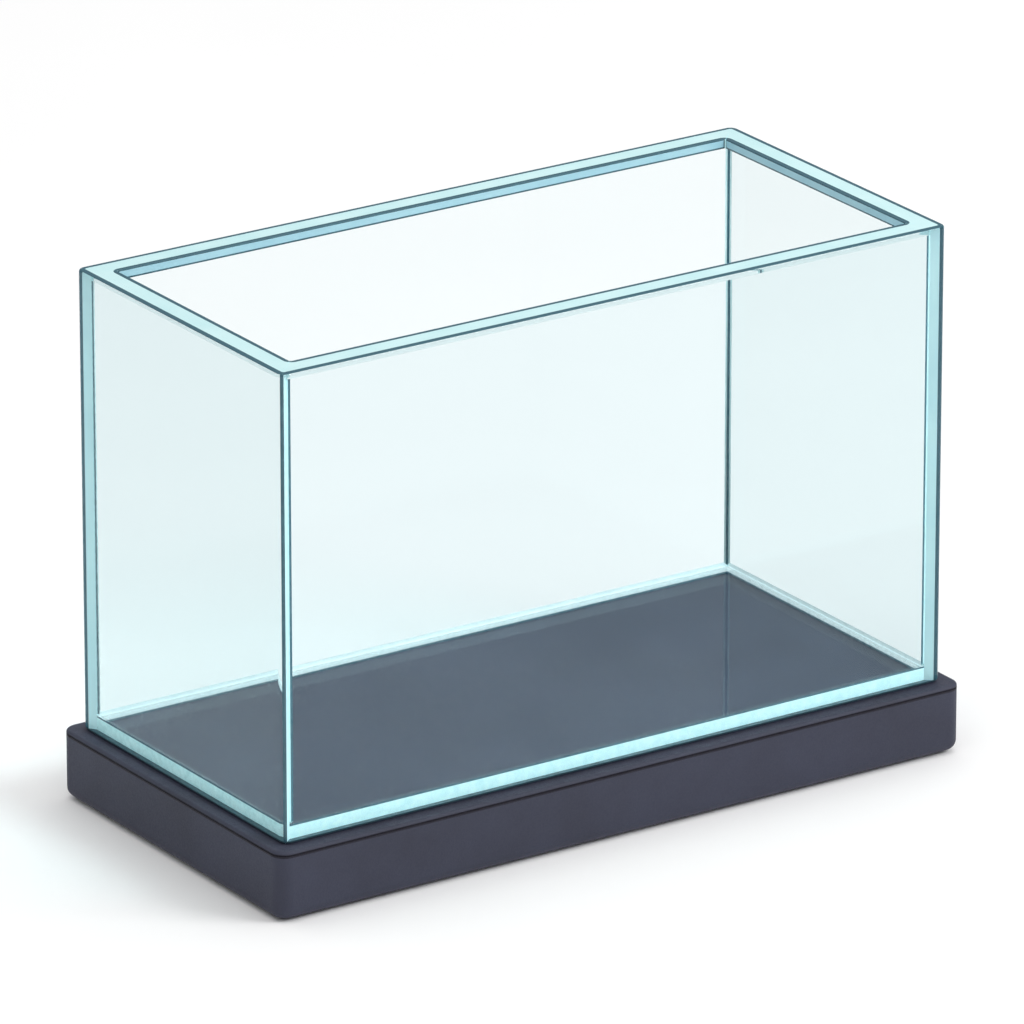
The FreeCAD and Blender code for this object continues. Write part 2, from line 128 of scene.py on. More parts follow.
def new_material(name, recipe, *tints):
    """A material. Its recipe takes the tree and the place on the object, and gives the shader."""
    material = bpy.data.materials.new(name)
    material.use_nodes = True
    tree = material.node_tree
    tree.nodes.clear()
    where = add(tree, "ShaderNodeTexCoord").outputs["Object"]
    add(tree, "ShaderNodeOutputMaterial", {"Surface": recipe(tree, where, *tints)})
    return material


def patches(tree, where, size_mm, low=0.0, high=1.0, detail=3.0, stretch=(1, 1, 1)):
    """Cloudy patches about size_mm across, going from low to high."""
    placed = add(tree, "ShaderNodeMapping", {"Vector": where, "Scale": stretch})
    cloud = add(tree, "ShaderNodeTexNoise", {"Vector": placed, "Scale": 1 / (size_mm * MM), "Detail": detail})
    return add(
        tree, "ShaderNodeMapRange",
        {"Value": cloud, "From Min": 0.32, "From Max": 0.68, "To Min": low, "To Max": high},
    )


def two_tints(tree, where, size_mm, first, second, detail=3.0):
    """Two sRGB tints mixed in cloudy patches."""
    cloud = patches(tree, where, size_mm, detail=detail)
    return add(tree, "ShaderNodeMix", {0: cloud, 6: colour(first), 7: colour(second)}, data_type="RGBA")


def finish(tree, tint, roughness, relief, relief_mm, **fixed):
    """A surface with its tint, its roughness and its fine relief. Other inputs are fixed numbers."""
    normal = add(tree, "ShaderNodeBump", {"Height": relief, "Strength": 0.4, "Distance": relief_mm * MM})
    inputs = {"Base Color": tint, "Roughness": roughness, "Normal": normal}
    inputs.update({name.replace("_", " "): value for name, value in fixed.items()})
    return add(tree, "ShaderNodeBsdfPrincipled", inputs)


def inside_outline(tree, where, half_x, half_y, corner):
    """How far a point is inside a rounded rectangle about the origin, in plan."""
    reach = add(tree, "ShaderNodeVectorMath", {0: where}, operation="ABSOLUTE")
    straight = (half_x - corner, half_y - corner, 10)
    past = add(tree, "ShaderNodeVectorMath", {0: reach, 1: straight}, operation="SUBTRACT")
    beyond = add(tree, "ShaderNodeVectorMath", {0: past, 1: (0, 0, 0)}, operation="MAXIMUM")
    round_part = add(tree, "ShaderNodeVectorMath", {0: beyond}, operation="LENGTH").outputs["Value"]
    apart = add(tree, "ShaderNodeSeparateXYZ", {0: past}).outputs
    nearest = add(tree, "ShaderNodeMath", {0: apart["X"], 1: apart["Y"]}, operation="MAXIMUM")
    flat_part = add(tree, "ShaderNodeMath", {0: nearest, 1: 0.0}, operation="MINIMUM")
    outwards = add(tree, "ShaderNodeMath", {0: round_part, 1: flat_part}, operation="ADD")
    return add(tree, "ShaderNodeMath", {0: corner, 1: outwards}, operation="SUBTRACT")


def within(tree, value, low, high):
    """1 where a value lies between low and high, and 0 elsewhere."""
    above = add(tree, "ShaderNodeMath", {0: value, 1: low}, operation="GREATER_THAN")
    below = add(tree, "ShaderNodeMath", {0: value, 1: high}, operation="LESS_THAN")
    return add(tree, "ShaderNodeMath", {0: above, 1: below}, operation="MULTIPLY")


def from_sides(tree, where, box):
    """A point's distances from the two ends and the two long sides of a box, and its height."""
    apart = add(tree, "ShaderNodeSeparateXYZ", {0: where}).outputs
    distances = []
    for along, limit in ((apart["X"], box.x), (apart["Y"], box.y)):
        size = add(tree, "ShaderNodeMath", {0: along}, operation="ABSOLUTE")
        distances.append(add(tree, "ShaderNodeMath", {0: limit, 1: size}, operation="SUBTRACT"))
    return (*distances, apart["Z"])


def from_bead_root(tree, where):
    """How far a point of a silicone bead lies, along the nearer pane, from the line where two panes meet."""
    from_end, from_side, height = from_sides(tree, where, INNER)
    from_floor = add(tree, "ShaderNodeMath", {0: height, 1: INNER.z}, operation="SUBTRACT")
    nearer = add(tree, "ShaderNodeMath", {0: from_end, 1: from_side}, operation="MINIMUM")
    farther = add(tree, "ShaderNodeMath", {0: from_end, 1: from_side}, operation="MAXIMUM")
    least = add(tree, "ShaderNodeMath", {0: nearer, 1: from_floor}, operation="MINIMUM")
    lower = add(tree, "ShaderNodeMath", {0: farther, 1: from_floor}, operation="MINIMUM")
    middle = add(tree, "ShaderNodeMath", {0: nearer, 1: lower}, operation="MAXIMUM")
    return add(tree, "ShaderNodeMath", {0: middle, 1: least}, operation="SUBTRACT")


def outside_only(tree, shader):
    """Shows a finish on the face's outer side. From behind, which is from within the glass, it is clear."""
    clear = add(tree, "ShaderNodeBsdfTransparent", {"Color": colour("#FBFEFE")})
    behind = add(tree, "ShaderNodeNewGeometry").outputs["Backfacing"]
    return add(tree, "ShaderNodeMixShader", {0: behind, 1: shader, 2: clear})


# ---- Glass ----


def float_glass(tree, where, body_tint, shade_tint):
    """Float glass, fire-polished: clear, faintly blue-green, with the slow waviness of the float bath and a
    breath of haze, so that reflections are never quite perfect. Lamps shine through it, dimmed a little."""
    wave = patches(tree, where, 90, detail=1)
    haze = patches(tree, where, 60, 0.0, 0.03, detail=4)
    glass = finish(
        tree, colour(body_tint), haze, wave, 0.3,
        IOR=GLASS_BEND, Transmission_Weight=1.0, Coat_Weight=0.12, Coat_Roughness=0.03, Coat_IOR=1.5,
    )
    film = add(tree, "ShaderNodeBsdfTransparent", {"Color": colour(shade_tint)})
    lamp_ray = add(tree, "ShaderNodeLightPath").outputs["Is Shadow Ray"]
    return add(tree, "ShaderNodeMixShader", {0: lamp_ray, 1: glass, 2: film})


def ground_scratches(tree, where):
    """Fine scratches that run along an edge, in x on the long sides and in y on the ends."""
    from_end, from_side, _ = from_sides(tree, where, OUTER)
    on_end = add(tree, "ShaderNodeMath", {0: from_end, 1: from_side}, operation="LESS_THAN")
    along_x = patches(tree, where, 1.2, stretch=(0.04, 1, 0.3))
    along_y = patches(tree, where, 1.2, stretch=(1, 0.04, 0.3))
    return add(tree, "ShaderNodeMix", {0: on_end, 2: along_x, 3: along_y})


def satin_rim(tree, where):
    """Float glass, satin-ground edge: a wheel has left fine scratches along the rim, which scatter the
    blue-green light that has run through the pane. The rim's two borders look deep into the glass, and are
    dark teal."""
    scratches = ground_scratches(tree, where)
    pale = two_tints(tree, where, 35, "#C4EAED", "#CFF0F2")
    from_outside = inside_outline(tree, where, OUTER.x, OUTER.y, CORNER_RADIUS)
    in_opening = inside_outline(tree, where, RING_INNER.x, RING_INNER.y, OPENING_RADIUS)
    outer_border = within(tree, from_outside, -SPARE, RIM_OUTER_BORDER)
    inner_border = within(tree, in_opening, -RIM_INNER_BORDER, SPARE)
    border = add(tree, "ShaderNodeMath", {0: outer_border, 1: inner_border}, operation="MAXIMUM")
    tint = add(tree, "ShaderNodeMix", {0: border, 6: pale, 7: colour(DEEP_TEAL)}, data_type="RGBA")
    rough = add(tree, "ShaderNodeMapRange", {"Value": scratches, "To Min": 0.34, "To Max": 0.55})
    return finish(tree, tint, rough, scratches, 0.03, IOR=1.52, Specular_IOR_Level=0.25)


def sawn_mitre(tree, where):
    """Float glass, sawn mitre under silicone: pale blue-green, with a painted glow, an emission that stands
    in for the light that has run along the glass, beside a dark border where the mitre starts."""
    saw = patches(tree, where, 1.5, stretch=(1, 1, 0.08))
    pale = two_tints(tree, where, 50, "#B4DDE4", "#BEE5EA")
    from_outside = inside_outline(tree, where, OUTER.x, OUTER.y, 0.0)
    rounded_off = CORNER_RADIUS * (1 - math.sqrt(0.5))
    border = within(tree, from_outside, -SPARE, rounded_off + MITRE_BORDER)
    tint = add(tree, "ShaderNodeMix", {0: border, 6: pale, 7: colour(DEEP_TEAL)}, data_type="RGBA")
    rough = add(tree, "ShaderNodeMapRange", {"Value": saw, "To Min": 0.4, "To Max": 0.6})
    return finish(tree, tint, rough, saw, 0.03, IOR=1.52, Emission_Color=tint, Emission_Strength=PAINTED_EDGE_GLOW)


def satin_lip(tree, where):
    """Float glass, satin-ground lip of a brace: a deeper blue-green than the rim, which is painted shade on
    the upright face, with a faint painted glow and a dark border along its lower edge."""
    scratches = ground_scratches(tree, where)
    # painted shade: the same ground glass as the rim, tinted deeper on the upright lip
    deep = two_tints(tree, where, 40, "#9CCBDA", "#A8D4E0")
    height = add(tree, "ShaderNodeSeparateXYZ", {0: where}).outputs["Z"]
    border = within(tree, height, RING_INNER.z - SPARE, RING_INNER.z + LIP_BORDER)
    tint = add(tree, "ShaderNodeMix", {0: border, 6: deep, 7: colour(DEEP_TEAL)}, data_type="RGBA")
    rough = add(tree, "ShaderNodeMapRange", {"Value": scratches, "To Min": 0.34, "To Max": 0.55})
    shader = finish(tree, tint, rough, scratches, 0.03, IOR=1.52, Emission_Color=tint, Emission_Strength=0.12)
    return outside_only(tree, shader)


def polished_arris(tree, where):
    """Float glass, polished arris: the narrow chamfer looks deep into the pane, where the iron in the glass
    shows as dark teal."""
    tint = two_tints(tree, where, 14, "#335A68", "#3D6A78")
    shader = finish(tree, tint, patches(tree, where, 3, 0.14, 0.28), patches(tree, where, 2), 0.02, IOR=1.52)
    return outside_only(tree, shader)


def seated_edge(tree, where):
    """Float glass, ground lower edge standing on the dark mat: deep teal, partly the mat seen through it and
    partly painted shade where the glass sits on the mat.
    """
    tint = two_tints(tree, where, 14, "#2F4F5B", "#385C68")
    return finish(tree, tint, patches(tree, where, 3, 0.3, 0.5), patches(tree, where, 2), 0.02, IOR=1.52)


# ---- Silicone ----


def silicone(tree, where, tint, **fixed):
    """Clear silicone, cured: a soft gloss, a little uneven from the tool."""
    rough = patches(tree, where, 5, 0.2, 0.36)
    return finish(tree, tint, rough, patches(tree, where, 4), 0.06, IOR=1.41, **fixed)


def bond(tree, where):
    """Clear silicone, cured between two panes: milky pale blue-green, with a painted glow, an emission that
    stands in for light from the glass on both sides.
    """
    tint = two_tints(tree, where, 8, "#BDE6EA", "#CBEEF1")
    return silicone(tree, where, tint, Emission_Color=tint, Emission_Strength=PAINTED_EDGE_GLOW)


def tooled_corner(tree, where):
    """Clear silicone, tooled into a corner: a dark teal line at the root, where both panes meet behind it,
    between two thin pale wings, partly the silicone's milky colour and partly painted highlights, with a
    faint painted glow."""
    root = add(tree, "ShaderNodeMath", {0: from_bead_root(tree, where), 1: BEAD_ROOT}, operation="LESS_THAN")
    pale = two_tints(tree, where, 8, "#C9ECEF", "#D6F3F5")
    tint = add(tree, "ShaderNodeMix", {0: root, 6: pale, 7: colour("#426F7D")}, data_type="RGBA")
    return silicone(tree, where, tint, Emission_Color=tint, Emission_Strength=0.2)


def bead_wing(tree, where):
    """Clear silicone, the side of a corner bead that is stuck to a pane and seen through it: as pale as the
    mitre beside it, partly the silicone's milky colour and partly a painted highlight, with the same painted
    glow, and with a dark teal line where the bead ends."""
    tip = add(tree, "ShaderNodeMath", {0: from_bead_root(tree, where), 1: WING_TIP}, operation="GREATER_THAN")
    pale = two_tints(tree, where, 8, "#B4DDE4", "#BEE5EA")
    tint = add(tree, "ShaderNodeMix", {0: tip, 6: pale, 7: colour(DEEP_TEAL)}, data_type="RGBA")
    return silicone(tree, where, tint, Emission_Color=tint, Emission_Strength=PAINTED_EDGE_GLOW)


def base_outside(tree, where):
    """Clear silicone round the bottom pane, seen through a wall: it is milky with a painted glow beside the
    pane's edge, under a fine teal line at the level of the floor, and is clear above that. From inside it is
    milky, with a weaker painted glow."""
    height = add(tree, "ShaderNodeSeparateXYZ", {0: where}).outputs["Z"]
    pale = two_tints(tree, where, 8, "#BDE6EA", "#CBEEF1")
    line = add(tree, "ShaderNodeMath", {0: height, 1: INNER.z}, operation="GREATER_THAN")
    tint = add(tree, "ShaderNodeMix", {0: line, 6: pale, 7: colour(DEEP_TEAL)}, data_type="RGBA")
    solid = add(tree, "ShaderNodeMath", {0: height, 1: INNER.z + FLOOR_BORDER}, operation="LESS_THAN")
    outer = silicone(
        tree, where, tint,
        Alpha=add(tree, "ShaderNodeMapRange", {"Value": solid, "To Min": 0.1, "To Max": 1.0}),
        Emission_Color=tint, Emission_Strength=PAINTED_EDGE_GLOW,
    )
    milky = two_tints(tree, where, 8, "#DCEFF2", "#E4F4F6")
    inner = silicone(tree, where, milky, Emission_Color=milky, Emission_Strength=0.3)
    behind = add(tree, "ShaderNodeNewGeometry").outputs["Backfacing"]
    return add(tree, "ShaderNodeMixShader", {0: behind, 1: outer, 2: inner})


def base_inside(tree, where):
    """Clear silicone at the bottom pane's edge, seen down through the pane: a strong painted glow over a
    darkened base makes it as pale as the wall above it, so that the dark mat seems to run right up to the
    wall, with a teal line where it ends."""
    pale = two_tints(tree, where, 8, "#DCEFF2", "#E4F4F6")
    height = add(tree, "ShaderNodeSeparateXYZ", {0: where}).outputs["Z"]
    line = add(tree, "ShaderNodeMath", {0: height, 1: GLASS_FOOT + MAT_BORDER}, operation="LESS_THAN")
    glow = add(tree, "ShaderNodeMix", {0: line, 6: pale, 7: colour(DEEP_TEAL)}, data_type="RGBA")
    # the base colour is darkened so that the painted glow alone sets how pale the face looks
    body = add(tree, "ShaderNodeMix", {0: 0.85, 6: glow, 7: colour("#30444C")}, data_type="RGBA")
    return silicone(tree, where, body, Emission_Color=glow, Emission_Strength=0.86)


def tooled_floor(tree, where):
    """Clear silicone, tooled along the floor: almost invisible, with a soft gloss."""
    tint = two_tints(tree, where, 8, "#CDEBEE", "#DAF3F5")
    return silicone(tree, where, tint, Alpha=0.1)


# ---- Plinth ----


def moulded_abs(tree, where):
    """Moulded ABS with a fine spark-eroded skin: dark slate, matt, a little scuffed along its foot, with
    painted shade that makes it nearly black in and around its moulded line, and with dust caught on the
    ledge. The skin is drawn coarser than the real one, so that it shows."""
    grain = patches(tree, where, 1.1, detail=2)
    tint = two_tints(tree, where, 70, "#343645", "#3A3D4E", detail=4)
    height = add(tree, "ShaderNodeSeparateXYZ", {0: where}).outputs["Z"]
    low = add(
        tree, "ShaderNodeMapRange",
        {"Value": height, "From Min": PLINTH_LOW.z, "From Max": PLINTH_LOW.z + SCUFF_HEIGHT,
         "To Min": 0.5, "To Max": 0.0},
    )
    scuffs = patches(tree, where, 9, detail=5)
    rubbed = add(tree, "ShaderNodeMath", {0: low, 1: scuffs}, operation="MULTIPLY")
    tint = add(tree, "ShaderNodeMix", {0: rubbed, 6: tint, 7: colour("#5A5D72")}, data_type="RGBA")
    # painted shade: a nearly black band in and around the moulded groove
    line = within(tree, height, PLINTH_HIGH.z - PLINTH_LINE_SHADE[1], PLINTH_HIGH.z - PLINTH_LINE_SHADE[0])
    tint = add(tree, "ShaderNodeMix", {0: line, 6: tint, 7: colour("#1E1C29")}, data_type="RGBA")
    facing = add(tree, "ShaderNodeNewGeometry").outputs["Normal"]
    upwards = add(tree, "ShaderNodeSeparateXYZ", {0: facing}).outputs["Z"]
    ledge = add(tree, "ShaderNodeMapRange", {"Value": upwards, "From Min": 0.8, "From Max": 1.0})
    specks = patches(tree, where, 5, 0.0, 0.12, 6)
    dust = add(tree, "ShaderNodeMath", {0: ledge, 1: specks}, operation="MULTIPLY")
    tint = add(tree, "ShaderNodeMix", {0: dust, 6: tint, 7: colour("#6A6D7C")}, data_type="RGBA")
    rough = add(tree, "ShaderNodeMapRange", {"Value": grain, "To Min": 0.52, "To Max": 0.68})
    return finish(tree, tint, rough, grain, 0.12, IOR=1.53, Specular_IOR_Level=0.3)


def eva_foam(tree, where):
    """Closed-cell EVA foam: dark slate, dead matt, with a skin of fine cells that show as a light peppering.
    The cells are drawn coarser than the real ones, so that they show."""
    cells = add(tree, "ShaderNodeTexVoronoi", {"Vector": where, "Scale": 1 / (2.2 * MM)})
    tint = two_tints(tree, where, 90, "#454B5D", "#4D5366")
    pits = add(
        tree, "ShaderNodeMapRange",
        {"Value": cells, "From Min": 0.1, "From Max": 0.6, "To Min": 0.16, "To Max": 0.0},
    )
    tint = add(tree, "ShaderNodeMix", {0: pits, 6: tint, 7: colour("#2C2F3E")}, data_type="RGBA")
    rough = add(tree, "ShaderNodeMapRange", {"Value": cells, "To Min": 0.75, "To Max": 0.92})
    return finish(tree, tint, rough, cells, 0.15, IOR=1.45, Specular_IOR_Level=0.25)


def abs_sheet(tree, where):
    """Extruded ABS sheet: black, satin, with faint lines along the way it was drawn and handling marks."""
    lines = patches(tree, where, 1.5, stretch=(0.02, 1, 1))
    tint = two_tints(tree, where, 18, "#25262C", "#32343B", detail=6)
    rough = add(tree, "ShaderNodeMapRange", {"Value": lines, "To Min": 0.35, "To Max": 0.5})
    return finish(tree, tint, rough, lines, 0.04, IOR=1.53)


def nitrile_rubber(tree, where):
    """Moulded nitrile rubber: black, matt, with a bloom of paler dust where it grips."""
    tint = two_tints(tree, where, 6, "#1F1F22", "#38383D", detail=5)
    rough = patches(tree, where, 6, 0.6, 0.85, detail=5)
    return finish(tree, tint, rough, patches(tree, where, 0.8), 0.05, IOR=1.52)


def zinc_plate(tree, where):
    """Bright zinc-plated steel: bluish silver with a soft crystalline mottle."""
    mottle = patches(tree, where, 1.5, detail=4)
    tint = two_tints(tree, where, 1.5, "#B4B8BC", "#D2D6DA", detail=4)
    rough = add(tree, "ShaderNodeMapRange", {"Value": mottle, "To Min": 0.22, "To Max": 0.4})
    return finish(tree, tint, rough, mottle, 0.02, Metallic=1.0)


def white_paint(tree, where):
    """Painted studio floor: near white, matt, with the faintest roller texture. It is clear from below, so
    that the underside of the plinth can be looked at."""
    tint = two_tints(tree, where, 400, "#FBFBFB", "#FDFDFD")
    rough = patches(tree, where, 30, 0.84, 0.9)
    shader = finish(tree, tint, rough, patches(tree, where, 3), 0.02, Specular_IOR_Level=0.0)
    return outside_only(tree, shader)


# ---- Meshes ----


def piece_from(name, bm, materials, body, replaced):
    """A finished piece from a bmesh. The materials go in before the faces, which already point at them."""
    mesh = bpy.data.meshes.new(name)
    for material in materials:
        mesh.materials.append(material)
    bm.to_mesh(mesh)
    bm.free()
    settle(name, mesh, body, replaced)


def settle(name, mesh, body, replaced):
    """Puts a mesh in the scene, riding on a body in place of the node that it replaces."""
    piece = bpy.data.objects.new(name, mesh)
    bpy.context.scene.collection.objects.link(piece)
    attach(piece, body)
    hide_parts(replaced)


def merged_copy(node):
    """A node's mesh with its loose triangles joined, and its flat faces made whole."""
    bm = bmesh.new()
    bm.from_mesh(NODES[node].data)
    bmesh.ops.remove_doubles(bm, verts=bm.verts, dist=0.002 * MM)
    bmesh.ops.dissolve_limit(bm, angle_limit=math.radians(0.5), verts=bm.verts, edges=bm.edges)
    bm.normal_update()
    return bm


def is_square_on(normal):
    """True for a face that looks straight along x, y or z."""
    return max(abs(normal.x), abs(normal.y), abs(normal.z)) > 0.9999


def is_mitre(normal):
    """True for an upright face at 45 degrees to the sides."""
    return abs(normal.z) < 0.01 and abs(abs(normal.x) - abs(normal.y)) < 0.001


def looks_inward(face):
    """True for a face that looks towards the tank's middle."""
    middle = face.calc_center_median()
    return face.normal.x * middle.x < -1e-6 or face.normal.y * middle.y < -1e-6


def near_outside(face):
    """True for a face whose middle is close to the tank's outside."""
    middle = face.calc_center_median()
    return min(OUTER.x - abs(middle.x), OUTER.y - abs(middle.y)) < SEAM_EDGE


def glass_slot(face, is_wall, is_brace):
    """Which finish a face of a glass piece has."""
    n = face.normal
    if is_mitre(n) and looks_inward(face):
        return MITRE
    if n.z > 0.75 and (is_wall or is_brace):
        return TOP
    if is_wall and n.z < -0.05:
        return SEAT
    if is_wall and by_mitre(face):
        return ARRIS
    if is_brace and (looks_inward(face) or n.z < -0.5):
        return LIP
    return FACE


def by_mitre(face):
    """True for the part of a rounded outside corner that runs along the mitre."""
    middle = face.calc_center_median()
    off_mitre = abs((OUTER.x - abs(middle.x)) - (OUTER.y - abs(middle.y)))
    return not is_square_on(face.normal) and off_mitre < ARRIS_REACH


def ring_edges(bm):
    """A brace's sharp edges round the ring's opening."""
    found = []
    for edge in bm.edges:
        if len(edge.link_faces) != 2 or edge.calc_face_angle(0) < math.radians(40):
            continue
        middle = (edge.verts[0].co + edge.verts[1].co) / 2
        from_ring = max(abs(middle.x) - RING_INNER.x, abs(middle.y) - RING_INNER.y)
        if abs(from_ring) < 0.01 * MM:
            found.append(edge)
    return found


def glass_piece(node, materials):
    """A pane or brace strip with each face given its finish, and a brace strip's arrises cut round the ring's
    opening.
    """
    is_wall = node.endswith("_pane") and node != "bottom_pane"
    is_brace = node.endswith("_brace")
    bm = merged_copy(node)
    for face in bm.faces:
        face.material_index = glass_slot(face, is_wall, is_brace)
        face.smooth = not is_square_on(face.normal) and not is_mitre(face.normal)
    if is_brace:
        bmesh.ops.bevel(
            bm, geom=ring_edges(bm), offset=ARRIS_WIDTH, offset_type="OFFSET", segments=2, profile=0.5,
            affect="EDGES", clamp_overlap=True, material=ARRIS,
        )
    bm.normal_update()
    for vertex in bm.verts:
        vertex.co -= vertex.normal * GLASS_GAP
    piece_from(f"glass_{node}", bm, materials, "tank", node)


def corner_seam_slot(face):
    """Which finish a face of a corner seam has."""
    n = face.normal
    middle = face.calc_center_median()
    upright = abs(n.z) < 0.5
    on_bead = abs(middle.x) < INNER.x + TOUCH and abs(middle.y) < INNER.y + TOUCH
    if on_bead and upright and looks_inward(face) and middle.z < RING_INNER.z and not is_square_on(n):
        return BEAD
    if on_bead and upright and is_square_on(n) and not looks_inward(face):
        return WING
    if near_outside(face) and abs(n.z) < 0.7 and not (is_mitre(n) and looks_inward(face)):
        return OUTSIDE
    if n.z > 0.75 and middle.z > RING_INNER.z:
        return RIM
    return BOND


def corner_seam_piece(node, materials):
    """A mitred bond with its bead."""
    bm = merged_copy(node)
    for face in bm.faces:
        face.material_index = corner_seam_slot(face)
        if face.material_index == BEAD:
            face.smooth = True
    piece_from(f"silicone_{node}", bm, materials, "tank", node)


def base_seam_piece(node, materials):
    """The bond round the bottom pane with its bead."""
    bm = merged_copy(node)
    for face in bm.faces:
        square_on = is_square_on(face.normal)
        if square_on and abs(face.normal.z) < 0.01:
            face.material_index = BASE_IN if looks_inward(face) else BASE_OUT
        else:
            face.material_index = BASE_BEAD
            face.smooth = not square_on
    piece_from(f"silicone_{node}", bm, materials, "tank", node)


def brace_seam_piece(node, materials):
    """The thin bond behind a brace: like the rim where it shows on top, and clear between the glass."""
    bm = merged_copy(node)
    for face in bm.faces:
        face.material_index = SEAM_TOP if face.normal.z > 0.5 else SEAM_HIDDEN
    piece_from(f"silicone_{node}", bm, materials, "tank", node)


def smooth_piece(node, name, material):
    """A piece of the plinth in a node's own shape, joined up so that its curves shade smoothly."""
    bm = merged_copy(node)
    for face in bm.faces:
        face.smooth = not is_square_on(face.normal)
    for edge in bm.edges:
        edge.smooth = edge.calc_face_angle(0) < math.radians(32)
    piece_from(name, bm, [material], "base", node)


# ---- Feet and screws ----

FOOT_STEPS = 48  # round the foot
FOOT_TAPER = 1 * MM  # how much narrower in radius the foot is at the shelf
TREAD = 0.5 * MM  # depth of the two grooves under the foot
SCREW_HEAD_RADIUS = 3.8 * MM
SCREW_HEAD_HEIGHT = 2.1 * MM
SCREW_SHANK_RADIUS = 1.7 * MM
SCREW_RECESS_WIDTH = 1.1 * MM
SHANK_SUNK = 0.2 * MM  # how far the shank reaches into the head


def foot_section(low, high, top):
    """A foot's section from its axis outwards, as radius and height, anticlockwise from its screw hole. low
    and high are its radii at the shelf and at the plinth, and top is its height."""
    hole, bore, step = 2.1 * MM, 5 * MM, 2.6 * MM
    ease = 0.6 * MM
    groove_half, groove_floor_half = 0.6 * MM, 0.3 * MM
    section = [(hole, step), (bore, step), (bore, ease), (bore + ease, 0)]
    for middle in (7.3 * MM, 9.7 * MM):
        section += [
            (middle - groove_half, 0), (middle - groove_floor_half, TREAD),
            (middle + groove_floor_half, TREAD), (middle + groove_half, 0),
        ]
    section += [(low - ease, 0), (low - 0.2 * ease, 0.2 * ease), (low, ease)]
    section += [(high, top - ease), (high - 0.2 * ease, top - 0.2 * ease), (high - ease, top), (hole, top)]
    return section


def rubber_foot(node, material):
    """A moulded foot, turned round its own axis, with two grooves to grip the shelf."""
    low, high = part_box(node)
    centre = (low + high) / 2
    radius = (high.x - low.x) / 2
    section = foot_section(radius - FOOT_TAPER, radius, high.z)
    bm = bmesh.new()
    rings = []
    for i in range(FOOT_STEPS):
        turn = 2 * math.pi * i / FOOT_STEPS
        along_x, along_y = math.cos(turn), math.sin(turn)
        rings.append([
            bm.verts.new((centre.x + r * along_x, centre.y + r * along_y, z)) for r, z in section
        ])
    for i, ring in enumerate(rings):
        following = rings[(i + 1) % FOOT_STEPS]
        for j in range(len(section)):
            k = (j + 1) % len(section)
            bm.faces.new((ring[j], ring[k], following[k], following[j])).smooth = True
    bmesh.ops.recalc_face_normals(bm, faces=bm.faces)
    for edge in bm.edges:
        edge.smooth = edge.calc_face_angle(0) < math.radians(40)
    piece_from(f"rubber_{node}", bm, [material], "base", node)


def screw_places(node):
    """Where each screw of a group stands, from the group's loose parts."""
    bm = merged_copy(node)
    left = set(bm.verts)
    places = []
    while left:
        found = [left.pop()]
        for vertex in found:
            for edge in vertex.link_edges:
                other = edge.other_vert(vertex)
                if other in left:
                    left.remove(other)
                    found.append(other)
        middle = sum((vertex.co for vertex in found), Vector()) / len(found)
        places.append((round(middle.x, 5), round(middle.y, 5)))
    bm.free()
    return sorted(places)


